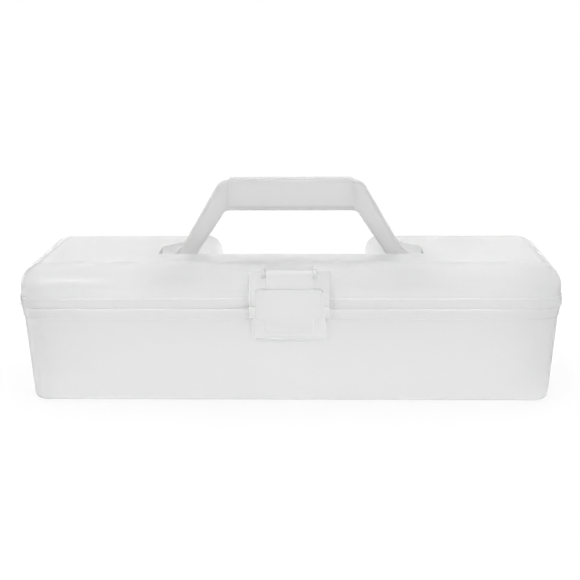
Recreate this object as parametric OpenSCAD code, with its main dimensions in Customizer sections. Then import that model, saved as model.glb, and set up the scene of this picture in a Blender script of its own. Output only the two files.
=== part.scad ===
// Clear art supply box: tub, hinged lid, carry handle that folds into the lid, and a front latch.
// Millimetres. +X runs along the box, -Y is the front, +Z is up.
// The origin is the centre of the tub's underside.

/* [Box] */
// Length over the lid's bead
box_l = 332; // [300:1:380]
// Depth over the lid's bead
box_d = 118; // [114:1:150]
// Height of the closed box, without the handle
box_h = 86.5; // [85:0.5:100]
// Height of the lid's lower edge above the table
part_z = 60; // [50:0.5:61]
// Radius of the corners seen from above, and of the lid's top edges
round_r = 15.5; // [14:0.5:18]
// Thickness of the moulded walls
wall = 1.8; // [1.2:0.1:2.2]

/* [Tub] */
// Thickness of the floor
floor_t = 2; // [1.5:0.1:3]
// Slope of the walls, in degrees from upright
draft = 4.9; // [2:0.1:6]
// Radius of the bottom edge
foot_r = 4.5; // [3.5:0.1:6]
// Height of the flared band under the lid
band_h = 6.4; // [5:0.1:8]
// How far the band steps out of the wall at its lower edge
band_step = 0.4; // [0.2:0.1:1]
// How far the lid's wall stands out past the tub's wall under the band
band_out = 1.45; // [1:0.05:2]
// Height of the rim that stands up inside the lid
rim_h = 4.3; // [3:0.1:5]
// Thickness of that rim
rim_t = 1.4; // [1:0.1:1.8]

/* [Lid] */
// Height of the bead round the lid's lower edge
bead_h = 6.5; // [4:0.1:8]
// How far the bead stands out of the lid's wall
bead_out = 0.7; // [0.4:0.1:1.2]
// Gap between the lid's lower edge and the tub
seam = 0.3; // [0.2:0.05:0.5]
// Gap between the rim and the lid's wall
rim_gap = 0.4; // [0.3:0.05:0.6]
// Gap between the rim's top and the floor of the handle's recess
rim_clear = 0.7; // [0.5:0.1:1.5]

/* [Handle] */
// Height from the pins to the top of the grip
handle_h = 58; // [50:0.5:60]
// Half the width of the handle at the height of its pins
foot_x = 78.1; // [74:0.1:90]
// How much a leg's outer edge leans in per unit of height
leg_lean = 0.5835; // [0.5:0.01:0.62]
// How much a leg's inner edge leans in per unit of height
finger_lean = 0.662; // [0.62:0.01:0.7]
// Width of the grip's straight underside, to the corners
finger_w = 83.4; // [78:0.1:86]
// Height of the grip
grip_h = 20.3; // [16:0.1:22]
// Thickness of the legs
leg_t = 12.4; // [10:0.1:13]
// How far the grip's pad stands out in front and behind
pad_out = 0.7; // [0.3:0.1:1]
// How far the grip's pad stands up
pad_up = 1.6; // [0.8:0.1:2]
// Length of the pad
pad_l = 77; // [60:1:78]
// Radius of the handle's outer corners
corner_out_r = 9; // [6:0.5:12]
// Radius of the inner corners
corner_in_r = 5; // [3:0.5:8]
// Radius of the outer edges, front and back
edge_r = 3.7; // [2:0.1:4]
// Radius of the edges on the fingers' side
finger_r = 1.2; // [0.6:0.1:2]
// Width of the blunt tip of a leg's pointed end
leg_end_w = 3; // [1:0.5:5]
// Height above the pins of the tip, along the leg's middle
leg_end_h = 5; // [4.5:0.1:8]
// Thickness of the handle's skin and walls
handle_wall = 2.2; // [1.6:0.1:2.6]
// Thickness of the web between a leg and its pin
web_t = 4.4; // [3:0.1:4.6]
// Height of the web above the pins
web_h = 12.5; // [10:0.5:15]
// Radius of the pins
pin_r = 2.5; // [2:0.05:2.6]
// How far a pin reaches into the lid
pin_grip = 2.8; // [2:0.1:4]

/* [Handle recess] */
// Distance from the pins to the recess's front wall
recess_front = 20; // [16:0.5:30]
// Length of pin that shows between the handle and the lid
pin_show = 5.4; // [4:0.1:7]
// Gap beside the folded handle, at the recess's open end
fold_side = 3.6; // [1.5:0.1:3.9]
// Gap under the folded handle
fold_gap = 0.6; // [0.4:0.1:2]
// Radius of the recess's corners seen from above
recess_r = 3; // [1:0.5:5]

/* [Latch] */
// Half the width of the pocket in the lid
pocket_x = 24.5; // [23:0.5:30]
// Half the width of the pocket in the tub
pocket_low_x = 22; // [21.5:0.5:24]
// Depth of the pocket from the lid's front
pocket_d = 4.9; // [4.5:0.1:5.2]
// How far the pocket reaches down from the lid's edge
pocket_h = 19.4; // [18:0.1:24]
// Half the width of the latch
latch_x = 20.5; // [19.5:0.1:21]
// Half the width of the latch's finger tab
tab_x = 14.7; // [14:0.1:16]
// Height of the latch's top above the lid's edge
latch_up = 11.8; // [10:0.1:12.5]
// How far the wide part reaches below the lid's edge
latch_down = 6.6; // [5:0.1:7]
// How far the finger tab reaches below the lid's edge
tab_down = 14.7; // [14:0.1:17]
// How far the latch stands out of the lid's front
latch_out = 2; // [1.4:0.1:3]
// Thickness of the latch
latch_t = 2; // [1.6:0.1:2.2]
// Radius of the latch's corners
latch_corner_r = 2.5; // [2.2:0.1:3.5]
// Half the width of the arm between the latch and its barrel
arm_x = 14.1; // [13:0.1:15]
// Radius of the latch's hinge barrel
barrel_r = 2.3; // [2.1:0.1:2.5]
// Radius of the latch's pins
latch_pin_r = 1.5; // [1:0.05:1.6]
// Depth of the barrel's axis below the lid's top
barrel_drop = 5.9; // [5:0.1:7]
// Depth of the barrel's axis behind the lid's front
barrel_back = 4.1; // [3.6:0.1:4.4]
// Depth of the notch behind the barrel, from the lid's front
notch_d = 8.8; // [7.4:0.1:10]
// How far the latch's hook reaches under the catch
hook_bite = 1.8; // [1:0.1:2]
// Half the width of the catch
catch_x = 12; // [8:0.5:13]
// Height of the catch
catch_h = 5; // [4:0.1:5.4]

/* [Hinges] */
// Distance of each hinge from the middle of the box
hinge_x = 95; // [90:1:115]
// Length of the lid's knuckle
knuckle_l = 16; // [12:0.5:20]
// Outer radius of the knuckles
knuckle_r = 3; // [2.8:0.1:3.4]
// Radius of the hinge rod
rod_r = 1.7; // [1.4:0.05:1.8]
// Thickness of the tub's hinge ears
ear_t = 3.5; // [2.5:0.1:5]
// How far each ear's buttress reaches down the wall
ear_h = 11; // [8:0.5:16]

/* [Fits] */
// Radial clearance of every pin in its bore
fit = 0.05; // [0.03:0.01:0.1]
// Gap between moving parts that don't carry each other
gap = 0.4; // [0.3:0.05:0.5]

/* [Hidden] */
$fn = 64;
over = 1; // how far a cut runs past the face that it opens

// The lid's wall, and the rectangle of corner centres that every wall is swept round
front_y = -(box_d / 2 - bead_out);
back_y = -front_y;
core = [box_l / 2 - bead_out - round_r, box_d / 2 - bead_out - round_r];
corners = [[core.x, -core.y], [core.x, core.y], [-core.x, core.y], [-core.x, -core.y]];

// Heights where the lid and the tub meet
shelf_z = part_z - seam;
rim_z = shelf_z + rim_h;
recess_z = rim_z + rim_clear + wall;

// Handle
grip_t = leg_t + 2 * pad_out;
pin_z = recess_z + grip_t / 2 + fold_gap;
grip_top_z = pin_z + handle_h;
frame_top_z = grip_top_z - pad_up;
grip_low_z = grip_top_z - grip_h;
handle_top_x = foot_x - leg_lean * (frame_top_z - pin_z);
finger_foot_x = finger_w / 2 + finger_lean * (grip_low_z - pin_z);

// Recess in the lid's top: it runs straight past the pins and webs, then closes in round the folded legs
recess_x = foot_x + pin_show;
recess_bend_y = norm([web_t / 2, pin_r]) + gap;
recess_end_y = back_y + round_r;
recess_end_x = foot_x + fold_side - leg_lean * recess_end_y;
recess_lean = (recess_x - recess_end_x) / (recess_end_y - recess_bend_y);
bore_end_x = recess_x + pin_grip + gap;

// Latch
pocket_y = front_y + pocket_d;
barrel_y = front_y + barrel_back;
barrel_z = box_h - barrel_drop;
notch_y = front_y + notch_d;
notch_x = arm_x + gap;
lug_t = wall + 0.2;
lug_r = barrel_r + wall / 3;
latch_top_z = part_z + latch_up;
latch_low_z = part_z - latch_down;
tab_low_z = part_z - tab_down;
latch_front_y = front_y - latch_out;
latch_inner_y = latch_front_y + latch_t;
flange_y = pocket_y - gap - latch_t / 4;
catch_low_z = latch_low_z - 1.4;
catch_y = pocket_y - (pocket_d - 1.1);
hook_top_z = catch_low_z - seam;

// Hinges
hinge_y = back_y + bead_out + gap + knuckle_r;
hinge_z = part_z;
lid_stop = 110;
toe_r = knuckle_r + 1.2;
toe_a = lid_stop - 90 + acos((knuckle_r + 0.1) / toe_r);
hinge_sides = [-1, 1];

// Distance of the tub's wall from the corner centres at height z
function tub_r(z) = round_r - band_out - (part_z - seam - band_h - z) * tan(draft);

// Centre of a circle of radius r that touches the level z from above and a wall that leans out by
// tan(draft) and stands at distance a where z is 0
function fillet_c(a, z, r) = [a + (z + r) * tan(draft) - r / cos(draft), z + r];

// Corner centres of a convex outline of points p, rounded by r
function unit(v) = v / norm(v);
function inset(p, r) = [
    for (i = [0 : len(p) - 1])
        let (n = len(p), v = p[i], a = unit(p[(i + n - 1) % n] - v), b = unit(p[(i + 1) % n] - v))
            v + unit(a + b) * r / sin(acos(a * b) / 2)
];

// Sweeps a 2D profile round a convex polygon of corner centres, counter-clockwise.
// The profile's x is the distance out from the centres and its y is the height.
module around(centres) {
    n = len(centres);
    for (i = [0 : n - 1]) {
        p = centres[i];
        q = centres[(i + 1) % n];
        r = centres[(i + 2) % n];
        a = atan2(p.x - q.x, q.y - p.y);
        b = atan2(q.x - r.x, r.y - q.y);
        translate(q) rotate([0, 0, a]) rotate([90, 0, 0]) linear_extrude(norm(q - p)) children();
        translate(q) rotate([0, 0, a]) rotate_extrude(angle = (b - a + 360) % 360) children();
    }
}

// The same, with the inside filled between two heights
module filled(centres, low, high) {
    around(centres) children();
    translate([0, 0, low]) linear_extrude(high - low) polygon(centres);
}

// Convex outline at distance r from its corner centres, which run counter-clockwise
module ring(c, r) {
    n = len(c);
    for (p = c) translate(p) circle(r = r);
    polygon([
        for (i = [0 : n - 1])
            let (a = unit(c[(i + n - 1) % n] - c[i]), b = unit(c[(i + 1) % n] - c[i]))
                each [c[i] + r * [-a.y, a.x], c[i] + r * [b.y, -b.x]]
    ]);
}

// A convex outline, counter-clockwise, with rounded corners
module rounded(p, r) {
    ring(inset(p, r), r);
}

// A box between two corners
module block(low, high) {
    translate(low) cube(high - low);
}

// Extrudes an outline drawn in x and z from one y to another
module front_plate(y0, y1) {
    translate([0, y1, 0]) rotate([90, 0, 0]) linear_extrude(y1 - y0) children();
}

// Extrudes an outline drawn in y and z from one x to another
module side_plate(x0, x1) {
    translate([x0, 0, 0]) rotate([90, 0, 90]) linear_extrude(x1 - x0) children();
}

// A round bar along x
module bar(x0, x1, y, z, r) {
    translate([x0, y, z]) rotate([0, 90, 0]) cylinder(r = r, h = x1 - x0);
}

// ---- Tub ----

module tub_outer_profile() {
    a = tub_r(0);
    c = fillet_c(a, 0, foot_r);
    translate(c) circle(r = foot_r);
    polygon([
        [0, 0],
        [c.x, 0],
        [c.x + foot_r * cos(draft), c.y - foot_r * sin(draft)],
        [tub_r(shelf_z - band_h), shelf_z - band_h],
        [tub_r(shelf_z - band_h) + band_step, shelf_z - band_h],
        [round_r, shelf_z - 0.5],
        [round_r, shelf_z],
        [round_r - wall - rim_gap, shelf_z],
        [round_r - wall - rim_gap, rim_z - rim_t / 3],
        [round_r - wall - rim_gap - rim_t / 3, rim_z],
        [0, rim_z]
    ]);
}

module tub_inner_profile() {
    a = tub_r(0) - wall / cos(draft);
    r = foot_r - wall;
    c = fillet_c(a, floor_t, r);
    inner_r = round_r - wall - rim_gap - rim_t;
    translate(c) circle(r = r);
    polygon([
        [0, floor_t],
        [c.x, floor_t],
        [c.x + r * cos(draft), c.y - r * sin(draft)],
        [inner_r, (inner_r - a) / tan(draft)],
        [inner_r, rim_z + over],
        [0, rim_z + over]
    ]);
}

// The latch's pocket in the tub's front, grown by g
module tub_pocket(g) {
    band_z = shelf_z - band_h;
    rim_g = g > 0 ? rim_t : 0;
    front_plate(front_y - over, pocket_y + g) rounded([
        [pocket_low_x + g, part_z - pocket_h - g],
        [pocket_low_x + g, shelf_z + over],
        [-pocket_low_x - g, shelf_z + over],
        [-pocket_low_x - g, part_z - pocket_h - g]
    ], 1.5 + g);
    block([-pocket_x - g, front_y - over, band_z - g], [pocket_x + g, pocket_y + g, rim_z + over]);
    block(
        [-pocket_x - wall - rim_gap - rim_g, front_y - over, shelf_z],
        [pocket_x + wall + rim_gap + rim_g, pocket_y + wall + rim_gap + rim_g, rim_z + over]
    );
}

// Ledge in the tub's pocket that the latch hooks under, with a sloping top
module catch() {
    side_plate(-catch_x, catch_x) polygon([
        [pocket_y + wall / 2, catch_low_z],
        [catch_y, catch_low_z],
        [catch_y, catch_low_z + 1.2],
        [pocket_y, catch_low_z + catch_h],
        [pocket_y + wall / 2, catch_low_z + catch_h]
    ]);
}

// One of the tub's two ears at a hinge, with the toe that stops the lid
module ear() {
    toe = [hinge_y + toe_r * sin(toe_a), hinge_z + toe_r * cos(toe_a)];
    translate([hinge_y, hinge_z]) circle(r = knuckle_r);
    polygon([
        [back_y - wall, shelf_z - 0.5 - ear_h],
        [hinge_y + knuckle_r, hinge_z - knuckle_r],
        [toe.x, hinge_z - knuckle_r / 2],
        toe,
        [hinge_y, hinge_z + knuckle_r],
        [hinge_y, shelf_z - 0.5],
        [back_y - wall, shelf_z - 0.5]
    ]);
}

module tub_hinge() {
    inner = knuckle_l / 2 + gap;
    for (s = hinge_sides)
        side_plate(s > 0 ? inner : -inner - ear_t, s > 0 ? inner + ear_t : -inner) ear();
    bar(-inner - ear_t / 2, inner + ear_t / 2, hinge_y, hinge_z, rod_r);
}

module tub() {
    color("whitesmoke") {
        difference() {
            filled(corners, 0, rim_z) tub_outer_profile();
            tub_pocket(0);
            difference() {
                filled(corners, floor_t, rim_z + over) tub_inner_profile();
                tub_pocket(wall);
            }
        }
        catch();
        for (s = hinge_sides) translate([s * hinge_x, 0, 0]) tub_hinge();
    }
}

// ---- Lid ----

module quarter_round(r) {
    intersection() {
        translate([0, box_h - round_r]) circle(r = r);
        translate([0, box_h - round_r]) square(r + over);
    }
}

module lid_outer_profile() {
    quarter_round(round_r);
    translate([0, part_z]) square([round_r, box_h - round_r - part_z]);
    translate([round_r - wall / 2, part_z]) square([wall / 2 + bead_out, bead_h - bead_out]);
    translate([round_r, part_z + bead_h - bead_out]) circle(r = bead_out);
}

module lid_inner_profile() {
    quarter_round(round_r - wall);
    translate([0, part_z - over]) square([round_r - wall, box_h - round_r - part_z + over]);
}

// The recess for the handle, grown by g
module recess(g) {
    x = recess_x + g;
    grow = g * sqrt(1 + recess_lean * recess_lean);
    bend_y = recess_bend_y + (grow - g) / recess_lean;
    end_x = recess_end_x + grow;
    translate([0, 0, recess_z - g]) linear_extrude(box_h) rounded([
        [-x, -recess_front - g],
        [x, -recess_front - g],
        [x, bend_y],
        [end_x, recess_end_y],
        [-end_x, recess_end_y],
        [-x, bend_y]
    ], recess_r + g);
}

// The latch's pocket in the lid's front and the notch for its barrel, grown by g
module lid_pocket(g) {
    notch_z = barrel_z - barrel_r - gap;
    block([-pocket_x - g, front_y - over - bead_out, part_z - over], [pocket_x + g, pocket_y + g, box_h + over]);
    block([-notch_x - g, front_y - over, notch_z - g], [notch_x + g, notch_y + g, box_h + over]);
}

// Bosses inside the lid that carry the handle's pins
module pin_boss() {
    bar(recess_x - round_r, bore_end_x + wall, 0, pin_z, 2 * pin_r);
}

// Lugs beside the notch that carry the latch's pins
module lug() {
    side_plate(notch_x, notch_x + lug_t) {
        translate([barrel_y, barrel_z]) circle(r = lug_r);
        polygon([
            [barrel_y, barrel_z - lug_r],
            [pocket_y + wall / 2, barrel_z - lug_r],
            [pocket_y + wall / 2, barrel_z + lug_r / 2],
            [barrel_y, barrel_z + lug_r]
        ]);
    }
}

// Hook-shaped knuckle that snaps over the tub's rod from behind
module knuckle() {
    difference() {
        side_plate(-knuckle_l / 2, knuckle_l / 2) {
            translate([hinge_y, hinge_z]) circle(r = knuckle_r);
            polygon([
                [back_y - wall / 2, part_z],
                [hinge_y, part_z],
                [hinge_y, part_z + knuckle_r],
                [back_y, part_z + bead_h + bead_out],
                [back_y - wall / 2, part_z + bead_h + bead_out]
            ]);
        }
        bar(-knuckle_l, knuckle_l, hinge_y, hinge_z, rod_r + fit);
        block([-knuckle_l, hinge_y, hinge_z - 0.8 * rod_r], [knuckle_l, hinge_y + 2 * knuckle_r, hinge_z + 0.8 * rod_r]);
    }
}

module lid() {
    color("ghostwhite") {
        difference() {
            union() {
                difference() {
                    filled(corners, part_z, box_h) lid_outer_profile();
                    recess(0);
                    lid_pocket(0);
                    difference() {
                        filled(corners, part_z - over, box_h - wall) lid_inner_profile();
                        recess(wall);
                        lid_pocket(wall);
                        for (m = [0, 1]) mirror([m, 0, 0]) pin_boss();
                    }
                }
                for (m = [0, 1]) mirror([m, 0, 0]) lug();
                for (s = hinge_sides) translate([s * hinge_x, 0, 0]) knuckle();
            }
            for (m = [0, 1]) mirror([m, 0, 0]) {
                bar(recess_x - round_r, bore_end_x, 0, pin_z, pin_r + fit);
                bar(arm_x, notch_x + lug_t + over, barrel_y, barrel_z, latch_pin_r + fit);
            }
        }
    }
}

// ---- Handle ----

// Section through the handle's outer edge at distance r from the corner centres: x outwards, y to the front
module edge_profile(r, t, e) {
    intersection() {
        union() {
            translate([0, -t / 2]) square([r - e, t]);
            translate([0, e - t / 2]) square([r, t - 2 * e]);
            for (s = [-1, 1]) translate([r - e, s * (t / 2 - e)]) circle(r = e);
        }
        translate([0, -t]) square([r + over, 2 * t]);
    }
}

// Section of the opening between the legs, flared at both ends so that it leaves round edges
module opening_profile(r, t, e) {
    translate([0, -t]) square([r, 2 * t]);
    for (s = [0, 1]) mirror([0, s]) difference() {
        translate([0, t / 2 - e]) square([r + e, t]);
        translate([r + e, t / 2 - e]) circle(r = e);
    }
}

// Top corner of an arch, inside its rounding of radius r, where it is x wide on each side of the
// middle at height z and its sides lean in by lean per unit of height
function arch_corner(x, z, lean, r) = [x - r * tan(45 - atan(lean) / 2), z - r];

// Solid arch that is the same on both sides of the middle: a profile runs along its top, turns at its
// corners and runs down its sides. Its inside is filled to thickness t, lapping into the profile by lap.
module arch(corner, lean, t, lap) {
    a = atan(lean);
    side = [cos(a), sin(a)];
    down = handle_h * [sin(a), -cos(a)];
    for (m = [0, 1]) mirror([m, 0, 0]) {
        translate(corner) {
            rotate([0, 0, 90]) rotate([90, 0, 0])
                translate([0, 0, -corner.x]) linear_extrude(corner.x) children();
            rotate([0, 0, a]) rotate([90, 0, 0]) linear_extrude(handle_h) children();
            rotate_extrude() children();
        }
        translate([0, 0, -t / 2]) linear_extrude(t) polygon([
            corner + lap * side,
            corner + [0, lap],
            [0, corner.y + lap],
            [0, corner.y + down.y],
            corner + down + lap * side
        ]);
    }
}

// The same arch as an outline
module arch_outline(corner, lean, r) {
    a = atan(lean);
    side = [cos(a), sin(a)];
    down = handle_h * [sin(a), -cos(a)];
    for (m = [0, 1]) mirror([m, 0]) {
        translate(corner) circle(r = r);
        polygon([
            corner,
            corner + [0, r],
            [0, corner.y + r],
            [0, corner.y + down.y],
            corner + down,
            corner + down + r * side,
            corner + r * side
        ]);
    }
}

frame_corner = arch_corner(handle_top_x, frame_top_z, leg_lean, corner_out_r);
finger_corner = arch_corner(finger_w / 2, grip_low_z, finger_lean, corner_in_r);

// Everything past the pointed end of the right leg, with g taken off the end
module past_leg_end(g) {
    lean = (leg_lean + finger_lean) / 2;
    mid_x = (foot_x + finger_foot_x) / 2 - lean * leg_end_h;
    reach = handle_h / 2;
    tip = leg_end_w / 2;
    rise = g * sqrt(2) - tip;
    translate([mid_x, pin_z + leg_end_h]) rotate(atan(lean)) polygon([
        [-reach, reach + rise],
        [-tip, tip + rise],
        [tip, tip + rise],
        [reach, reach + rise],
        [reach, -reach],
        [-reach, -reach]
    ]);
}

// Space inside the legs and grip, open to the back, in x and z
module channel_outline() {
    difference() {
        arch_outline(frame_corner, leg_lean, corner_out_r - handle_wall);
        arch_outline(finger_corner, finger_lean, corner_in_r + handle_wall);
        for (m = [0, 1]) mirror([m, 0]) past_leg_end(handle_wall);
        for (s = [-1, 1]) translate([s * (pad_l + pad_up) / 2, frame_top_z]) square([handle_wall, 2 * grip_h], center = true);
    }
}

// The grip's raised pad, with sloping ends
module pad() {
    x = pad_l / 2;
    intersection() {
        side_plate(-x - pad_up, x + pad_up) rounded([
            [-grip_t / 2, grip_low_z],
            [grip_t / 2, grip_low_z],
            [grip_t / 2, grip_top_z],
            [-grip_t / 2, grip_top_z]
        ], edge_r);
        front_plate(-grip_t, grip_t) polygon([
            [-x - pad_up, grip_low_z],
            [x + pad_up, grip_low_z],
            [x + pad_up, frame_top_z],
            [x, grip_top_z],
            [-x, grip_top_z],
            [-x - pad_up, frame_top_z]
        ]);
    }
}

// Web and pin at the foot of the right leg
module leg_pin() {
    web_x = recess_x - gap;
    pin_x = (foot_x + finger_foot_x) / 2 - leg_end_w;
    front_plate(-web_t / 2, web_t / 2) polygon([
        [pin_x, pin_z],
        [web_x, pin_z],
        [web_x, pin_z + pin_r],
        [foot_x - leg_lean * web_h, pin_z + web_h],
        [pin_x, pin_z + leg_end_h + handle_wall]
    ]);
    bar(pin_x, recess_x + pin_grip, 0, pin_z, pin_r);
}

module carry_handle() {
    color("gainsboro") {
        difference() {
            union() {
                rotate([90, 0, 0]) difference() {
                    arch(frame_corner, leg_lean, leg_t, finger_r) edge_profile(corner_out_r, leg_t, edge_r);
                    arch(finger_corner, finger_lean, 2 * leg_t, finger_r) opening_profile(corner_in_r, leg_t, finger_r);
                    for (m = [0, 1]) mirror([m, 0, 0])
                        translate([0, 0, -leg_t]) linear_extrude(2 * leg_t) past_leg_end(0);
                }
                pad();
            }
            front_plate(handle_wall - leg_t / 2, grip_t) channel_outline();
        }
        for (m = [0, 1]) mirror([m, 0, 0]) leg_pin();
    }
}

// ---- Latch ----

// The latch seen from the front, with g taken off all round its wide part
module latch_outline(g) {
    rounded([
        [latch_x - g, latch_low_z + g],
        [latch_x - g, latch_top_z - g],
        [g - latch_x, latch_top_z - g],
        [g - latch_x, latch_low_z + g]
    ], latch_corner_r - g);
}

module front_latch() {
    color("lightgrey") {
        // Plate, with a rim that runs back from it towards the pocket
        difference() {
            front_plate(latch_front_y, flange_y) latch_outline(0);
            front_plate(latch_inner_y, pocket_y) union() {
                latch_outline(latch_t);
                translate([latch_t - latch_x, latch_low_z - over])
                    square([2 * (latch_x - latch_t), latch_corner_r + over + latch_t]);
            }
        }
        // Finger tab
        front_plate(latch_front_y, latch_inner_y) rounded([
            [tab_x, tab_low_z],
            [tab_x, latch_low_z + 2 * latch_corner_r],
            [-tab_x, latch_low_z + 2 * latch_corner_r],
            [-tab_x, tab_low_z]
        ], latch_corner_r);
        // Arm and barrel
        side_plate(-arm_x, arm_x) {
            translate([barrel_y, barrel_z]) circle(r = barrel_r);
            polygon([
                [barrel_y - barrel_r, latch_top_z - latch_t / 2],
                [flange_y, latch_top_z - latch_t / 2],
                [flange_y, barrel_z],
                [barrel_y - barrel_r, barrel_z]
            ]);
        }
        bar(-notch_x - lug_t, notch_x + lug_t, barrel_y, barrel_z, latch_pin_r);
        // Hook
        side_plate(gap - catch_x, catch_x - gap) polygon([
            [latch_inner_y - latch_t / 2, hook_top_z],
            [catch_y + hook_bite, hook_top_z],
            [catch_y + hook_bite, hook_top_z - latch_t / 2],
            [latch_inner_y - latch_t / 2, hook_top_z - 2 * latch_t]
        ]);
    }
}

tub();
lid();
carry_handle();
front_latch();
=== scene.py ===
"""A frosted plastic art supply box with its carry handle up, in plain soft studio light."""
import math

import bmesh
import bpy
from mathutils import Matrix, Vector
from mathutils.bvhtree import BVHTree
from mathutils.geometry import intersect_point_line


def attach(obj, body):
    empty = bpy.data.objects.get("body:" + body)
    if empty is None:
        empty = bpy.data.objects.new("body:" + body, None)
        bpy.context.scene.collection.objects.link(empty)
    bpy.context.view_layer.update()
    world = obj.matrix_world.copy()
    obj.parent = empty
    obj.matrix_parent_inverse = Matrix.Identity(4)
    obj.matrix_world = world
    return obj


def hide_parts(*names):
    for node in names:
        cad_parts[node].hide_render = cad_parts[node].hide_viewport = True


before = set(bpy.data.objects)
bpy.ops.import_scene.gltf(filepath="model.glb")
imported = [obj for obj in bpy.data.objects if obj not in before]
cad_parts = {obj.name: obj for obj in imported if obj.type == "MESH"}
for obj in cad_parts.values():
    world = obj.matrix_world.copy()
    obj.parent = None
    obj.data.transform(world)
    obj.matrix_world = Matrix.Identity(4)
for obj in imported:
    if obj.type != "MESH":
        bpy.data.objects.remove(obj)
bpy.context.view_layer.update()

scene = bpy.context.scene
scene.view_settings.view_transform = "Standard"

MM = 0.001

# ---- Camera ----

CAM_AT = Vector((22.33, -825.62, 240.11)) * MM
CAM_YAW, CAM_PITCH, CAM_ROLL = (math.radians(a) for a in (-1.622, 12.38, -0.34))
FOCAL_PX, FRAME_PX, SENSOR = 1307.0, 580.0, 36.0
CLIP_NEAR, CLIP_FAR = 0.01, 20.0


def add_camera():
    forward = Vector((
        math.sin(CAM_YAW) * math.cos(CAM_PITCH),
        math.cos(CAM_YAW) * math.cos(CAM_PITCH),
        -math.sin(CAM_PITCH),
    ))
    level_right = Vector((math.cos(CAM_YAW), -math.sin(CAM_YAW), 0.0))
    level_up = level_right.cross(forward)
    right = level_right * math.cos(CAM_ROLL) + level_up * math.sin(CAM_ROLL)
    up = level_up * math.cos(CAM_ROLL) - level_right * math.sin(CAM_ROLL)
    data = bpy.data.cameras.new("camera")
    data.sensor_width = SENSOR
    data.lens = FOCAL_PX / FRAME_PX * SENSOR
    data.clip_start, data.clip_end = CLIP_NEAR, CLIP_FAR
    camera = bpy.data.objects.new("camera", data)
    scene.collection.objects.link(camera)
    turn = Matrix((right, up, -forward)).transposed().to_4x4()
    turn.translation = CAM_AT
    camera.matrix_world = turn
    scene.camera = camera


add_camera()

# ---- Light ----

# Light crosses many thin walls here, and each one that cuts a path short darkens the box
THROUGH_BOUNCES, SURFACE_BOUNCES = 40, 12

# A wide soft lamp high above: strength, then spread and tilt in degrees
TOP_LIGHT, TOP_SPREAD, TOP_TILT = 0.34, 100, -10

# A strip lamp for the glint at the left end of the lid's front edge: place and sides in metres,
# power in watts
GLINT_AT = Vector((-0.42, -1.00, 0.80))
GLINT_WIDE, GLINT_HIGH, GLINT_LIGHT = 0.20, 0.06, 0.75


def set_bounces():
    scene.cycles.max_bounces = THROUGH_BOUNCES
    scene.cycles.transmission_bounces = THROUGH_BOUNCES
    scene.cycles.diffuse_bounces = SURFACE_BOUNCES
    scene.cycles.glossy_bounces = SURFACE_BOUNCES


def add_world():
    world = bpy.data.worlds.new("studio")
    scene.world = world
    world.use_nodes = True
    back = world.node_tree.nodes["Background"]
    back.inputs["Color"].default_value = (1, 1, 1, 1)
    back.inputs["Strength"].default_value = 1.0


def add_top_light():
    data = bpy.data.lights.new("top_light", "SUN")
    data.energy = TOP_LIGHT
    data.angle = math.radians(TOP_SPREAD)
    lamp = bpy.data.objects.new("top_light", data)
    lamp.rotation_euler = (math.radians(TOP_TILT), 0, 0)
    scene.collection.objects.link(lamp)


def add_glint():
    data = bpy.data.lights.new("glint", "AREA")
    data.shape = "RECTANGLE"
    data.size, data.size_y = GLINT_WIDE, GLINT_HIGH
    data.energy = GLINT_LIGHT
    lamp = bpy.data.objects.new("glint", data)
    lamp.location = GLINT_AT
    lamp.rotation_euler = (-GLINT_AT).to_track_quat("-Z", "Y").to_euler()
    scene.collection.objects.link(lamp)


set_bounces()
add_world()
add_top_light()
add_glint()

# ---- Shader nodes ----


def node_after(nt, kind, source, socket, **values):
    """A new node of this kind, fed from source, with its named settings and inputs set."""
    made = nt.nodes.new(kind)
    nt.links.new(source, made.inputs[socket])
    for name, value in values.items():
        label = name.replace("_", " ")
        if label in made.inputs:
            made.inputs[label].default_value = value
        else:
            setattr(made, name, value)
    return made


# ---- Floor ----

FLOOR_HALF = 6.0
FLOOR_COLOUR, FLOOR_ROUGH = (0.95, 0.95, 0.95, 1), 0.9
FLOOR_GLOW = 0.7  # share of the floor's look that no shadow darkens


def floor_material():
    """White, with a soft shadow to the camera and none in what the plastic mirrors or passes on."""
    mat = bpy.data.materials.new("floor")
    mat.use_nodes = True
    nt = mat.node_tree
    bsdf = nt.nodes["Principled BSDF"]
    bsdf.inputs["Base Color"].default_value = FLOOR_COLOUR
    bsdf.inputs["Roughness"].default_value = FLOOR_ROUGH
    bsdf.inputs["Specular IOR Level"].default_value = 0.0
    glow = nt.nodes.new("ShaderNodeEmission")
    glow.inputs["Strength"].default_value = 1.0
    rays = nt.nodes.new("ShaderNodeLightPath").outputs
    direct = node_after(nt, "ShaderNodeMath", rays["Is Camera Ray"], 0, operation="MULTIPLY")
    direct.inputs[1].default_value = FLOOR_GLOW
    passed = node_after(nt, "ShaderNodeMath", rays["Is Glossy Ray"], 0, operation="MAXIMUM")
    nt.links.new(rays["Is Transmission Ray"], passed.inputs[1])
    share = node_after(nt, "ShaderNodeMath", direct.outputs[0], 0, operation="MAXIMUM")
    nt.links.new(passed.outputs[0], share.inputs[1])
    mix = node_after(nt, "ShaderNodeMixShader", share.outputs[0], "Fac")
    nt.links.new(bsdf.outputs[0], mix.inputs[1])
    nt.links.new(glow.outputs[0], mix.inputs[2])
    nt.links.new(mix.outputs[0], nt.nodes["Material Output"].inputs["Surface"])
    return mat


def add_floor():
    mesh = bpy.data.meshes.new("floor")
    s = FLOOR_HALF
    mesh.from_pydata([(-s, -s, 0), (s, -s, 0), (s, s, 0), (-s, s, 0)], [], [(0, 1, 2, 3)])
    mesh.materials.append(floor_material())
    floor = bpy.data.objects.new("floor", mesh)
    scene.collection.objects.link(floor)


add_floor()

# ---- Soft edges ----

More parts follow.
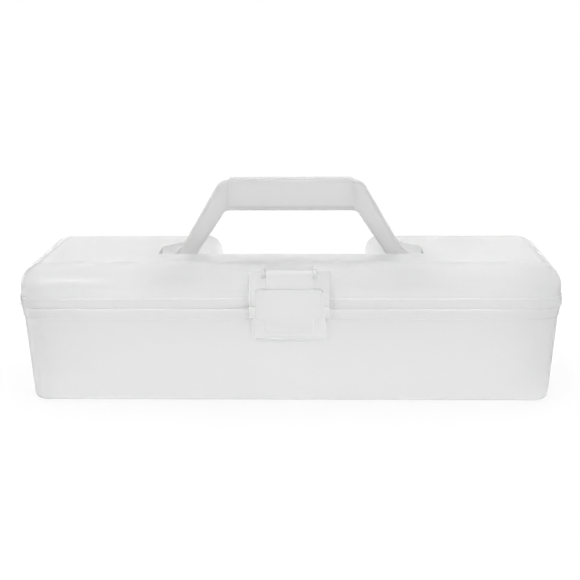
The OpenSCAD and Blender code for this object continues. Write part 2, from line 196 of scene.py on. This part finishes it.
# Moulded plastic has no knife edge, so each piece is shown by a copy whose edges are rounded over
ROUND, LATCH_ROUND = 0.30 * MM, 0.25 * MM
FEATURE = math.radians(35)  # faces that meet at less than this already run on smoothly
FLAT = math.radians(0.3)  # faces that meet at less than this make one flat face
WELD = 1e-6
DEEP_ENOUGH = 2.5  # widths of a round that the faces on both sides of its edge must reach
STRAY = 1.1  # widths off the plain surface past which a point of a round is out of place
ROUND_TRIES = 14
ROUND_STEPS = 2


def face_depth(face, edge):
    """How far a face reaches from one of its edges."""
    start = edge.verts[0].co
    along = (edge.verts[1].co - start).normalized()
    return max(((v.co - start) - along * (v.co - start).dot(along)).length for v in face.verts)


def gap_to(edge, point):
    """How far a point is from an edge."""
    near, part = intersect_point_line(point, edge.verts[0].co, edge.verts[1].co)
    if not 0 <= part <= 1:
        near = edge.verts[0 if part < 0 else 1].co
    return (point - near).length


def crossings(bm):
    """Places where the surface passes through itself."""
    flat = bm.copy()
    bmesh.ops.triangulate(flat, faces=flat.faces)
    flat.faces.ensure_lookup_table()
    tree = BVHTree.FromBMesh(flat, epsilon=0.0)
    places = []
    for a, b in tree.overlap(tree):
        first, second = flat.faces[a], flat.faces[b]
        if a < b and not set(first.verts) & set(second.verts):
            smaller = min(first, second, key=lambda f: f.calc_area())
            places += [first.calc_center_median(), second.calc_center_median()]
            places += [v.co.copy() for v in smaller.verts]
    flat.free()
    return places


def plain_copy(node):
    """The node's mesh with its flat faces whole."""
    bm = bmesh.new()
    bm.from_mesh(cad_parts[node].data)
    bmesh.ops.remove_doubles(bm, verts=bm.verts, dist=WELD)
    bmesh.ops.dissolve_limit(
        bm, angle_limit=FLAT, verts=bm.verts, edges=bm.edges, delimit=set()
    )
    bm.edges.ensure_lookup_table()
    return bm


def rounded_copy(node, width):
    """The node's mesh with rounds of this width, and plain edges where a round has no room."""
    plain = plain_copy(node)
    surface = BVHTree.FromBMesh(plain)
    chosen = {
        e.index for e in plain.edges
        if len(e.link_faces) == 2 and e.calc_face_angle(0) >= FEATURE
        and min(face_depth(f, e) for f in e.link_faces) >= DEEP_ENOUGH * width
    }
    for attempt in range(ROUND_TRIES):
        trial = plain.copy()
        trial.edges.ensure_lookup_table()
        bmesh.ops.bevel(
            trial, geom=[trial.edges[i] for i in chosen], offset=width, offset_type="OFFSET",
            segments=ROUND_STEPS, profile=0.5, affect="EDGES", clamp_overlap=False,
            loop_slide=True,
        )
        nearest = [surface.find_nearest(v.co) for v in trial.verts]
        crowded = [place for place, _, _, off in nearest if off > STRAY * width]
        crowded += crossings(trial)
        if not crowded:
            break
        # Each try leaves a wider berth round what is still crowded
        berth = (2 + attempt) * width
        chosen = {
            i for i in chosen if min(gap_to(plain.edges[i], p) for p in crowded) > berth
        }
        trial.free()
    else:
        trial = plain.copy()
    plain.free()
    return trial


# ---- Materials ----

# A tint is the share of light that a surface lets through or sends back, and a clear share is how
# much of that goes through
SHELL_ROUGH, HANDLE_ROUGH, LATCH_ROUGH = 0.75, 0.65, 0.70
SHELL_CLEAR, HANDLE_CLEAR, LATCH_CLEAR = 1.0, 0.5, 0.5
LID_TINT, HANDLE_TINT, LATCH_TINT = 0.962, 0.815, 0.925
# The tub's tint at heights in mm, with painted shade: it darkens up the wall towards the thick band
# at the rim, and the band itself is paler
TUB_TINTS_AND_SHADE = (
    (0.0, 0.946), (30.0, 0.935), (52.0, 0.918), (57.2, 0.918), (58.2, 0.985), (64.0, 0.985),
)
PLASTIC_IOR = 1.45
COAT, COAT_ROUGH = 0.7, 0.06

# Noise scales are per metre, and a swing is how far the value wanders to either side
TINT_NOISE, TINT_SWING = 45.0, 0.004
ROUGH_NOISE, ROUGH_SWING = 160.0, 0.04
GRAIN_NOISE, GRAIN_STRENGTH, GRAIN_DEPTH = 2200.0, 0.08, 0.1 * MM
NOISE_LOW, NOISE_HIGH = 0.3, 0.7


def uneven(nt, place, middle, swing, **noise):
    """A value that wanders over the surface round its middle."""
    cloud = node_after(nt, "ShaderNodeTexNoise", place, "Vector", **noise)
    spread = node_after(
        nt, "ShaderNodeMapRange", cloud.outputs["Fac"], "Value",
        From_Min=NOISE_LOW, From_Max=NOISE_HIGH, To_Min=middle - swing, To_Max=middle + swing,
    )
    return spread.outputs["Result"]


# Base colour ramped by height; for the tub the ramp is painted shade that darkens the wall towards
# the rim
def tint_and_shade_by_height(nt, place, tints):
    top = tints[-1][0]
    parts = node_after(nt, "ShaderNodeSeparateXYZ", place, "Vector")
    height = node_after(nt, "ShaderNodeMapRange", parts.outputs["Z"], "Value", From_Max=top * MM)
    ramp = node_after(nt, "ShaderNodeValToRGB", height.outputs["Result"], "Fac")
    stops = ramp.color_ramp.elements
    for step, (z, tint) in enumerate(tints):
        stop = stops[step] if step < 2 else stops.new(1.0)
        stop.position = z / top
        stop.color = (tint, tint, tint, 1)
    return ramp.outputs["Color"]


def frosted(name, tint, rough, clear):
    """Frosted polypropylene: hazy, with a fine moulded grain and a thin glossy skin."""
    mat = bpy.data.materials.new(name)
    mat.use_nodes = True
    nt = mat.node_tree
    bsdf = nt.nodes["Principled BSDF"]
    bsdf.inputs["IOR"].default_value = PLASTIC_IOR
    bsdf.inputs["Transmission Weight"].default_value = clear
    bsdf.inputs["Coat Weight"].default_value = COAT
    bsdf.inputs["Coat Roughness"].default_value = COAT_ROUGH
    place = nt.nodes.new("ShaderNodeTexCoord").outputs["Object"]

    patches = uneven(nt, place, 0.0, TINT_SWING, Scale=TINT_NOISE, Detail=3.0, Roughness=0.55)
    colour = node_after(nt, "ShaderNodeMath", patches, 0, operation="ADD")
    # A tuple of tints by height paints shade into the colour
    if isinstance(tint, tuple):
        nt.links.new(tint_and_shade_by_height(nt, place, tint), colour.inputs[1])
    else:
        colour.inputs[1].default_value = tint
    nt.links.new(colour.outputs[0], bsdf.inputs["Base Color"])

    worn = uneven(nt, place, rough, ROUGH_SWING, Scale=ROUGH_NOISE, Detail=4.0, Roughness=0.6)
    nt.links.new(worn, bsdf.inputs["Roughness"])

    grain = node_after(
        nt, "ShaderNodeTexNoise", place, "Vector", Scale=GRAIN_NOISE, Detail=2.0,
    )
    bump = node_after(
        nt, "ShaderNodeBump", grain.outputs["Fac"], "Height",
        Strength=GRAIN_STRENGTH, Distance=GRAIN_DEPTH,
    )
    nt.links.new(bump.outputs["Normal"], bsdf.inputs["Normal"])
    return mat


# ---- Pieces ----

WIDE_FACE = 2.0 * MM * MM
WIDE_BEND = math.radians(9)  # a wide face whose shading leans more than this gets its own normal
WIDE_LEADS = 100  # the modifier's highest weight, at which wide faces lead the most


def even_shading(piece):
    """Smooth shading led by the wide faces, which stay true beside rounds that lean away."""
    even = piece.modifiers.new("even", "WEIGHTED_NORMAL")
    even.keep_sharp = True
    even.weight = WIDE_LEADS
    shaded = piece.evaluated_get(bpy.context.evaluated_depsgraph_get()).to_mesh()
    normals = [corner.vector.copy() for corner in shaded.corner_normals]
    for face in shaded.polygons:
        if face.area > WIDE_FACE:
            for corner in face.loop_indices:
                if normals[corner].angle(face.normal, 0) > WIDE_BEND:
                    normals[corner] = face.normal.copy()
    piece.modifiers.clear()
    piece.data.normals_split_custom_set(normals)


def dress(node, body, material, width):
    """Shows a node by its rounded copy in this material."""
    mesh = bpy.data.meshes.new(node + "_moulded")
    bm = rounded_copy(node, width)
    for face in bm.faces:
        face.smooth = True
        face.material_index = 0
    bm.to_mesh(mesh)
    bm.free()
    mesh.set_sharp_from_angle(angle=FEATURE)
    mesh.materials.append(material)
    piece = bpy.data.objects.new(node + "_moulded", mesh)
    scene.collection.objects.link(piece)
    even_shading(piece)
    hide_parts(node)
    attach(piece, body)


# The tub's colour carries painted shade, darker up the wall towards the rim
dress("tub", "tub", frosted("tub", TUB_TINTS_AND_SHADE, SHELL_ROUGH, SHELL_CLEAR), ROUND)
dress("lid", "lid", frosted("lid", LID_TINT, SHELL_ROUGH, SHELL_CLEAR), ROUND)
dress(
    "carry_handle", "handle",
    frosted("handle", HANDLE_TINT, HANDLE_ROUGH, HANDLE_CLEAR), ROUND,
)
dress(
    "front_latch", "latch",
    frosted("latch", LATCH_TINT, LATCH_ROUGH, LATCH_CLEAR), LATCH_ROUND,
)
